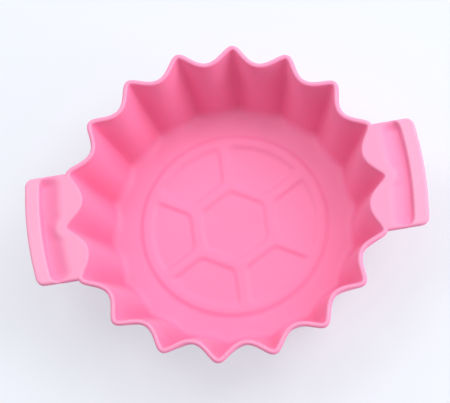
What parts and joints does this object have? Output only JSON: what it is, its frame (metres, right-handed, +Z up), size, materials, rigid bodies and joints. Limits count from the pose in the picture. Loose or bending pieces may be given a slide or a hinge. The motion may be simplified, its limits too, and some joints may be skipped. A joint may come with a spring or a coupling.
{
  "type": "air fryer liner",
  "caption": "Small round fluted silicone air fryer liner, a one-piece dish with a flat ribbed floor and grip ears at its sides",
  "frame": {"origin": "middle of the flat base, where it meets the table", "axes": "+X through the middle of one ear, +Z up out of the dish, +Y across the dish between the ears"},
  "size_m": [0.1216, 0.0984, 0.0274],
  "materials": {
    "silicone": "satin moulded silicone"
  },
  "bodies": {
    "root": {"liner": "silicone"}
  },
  "joints": []
}
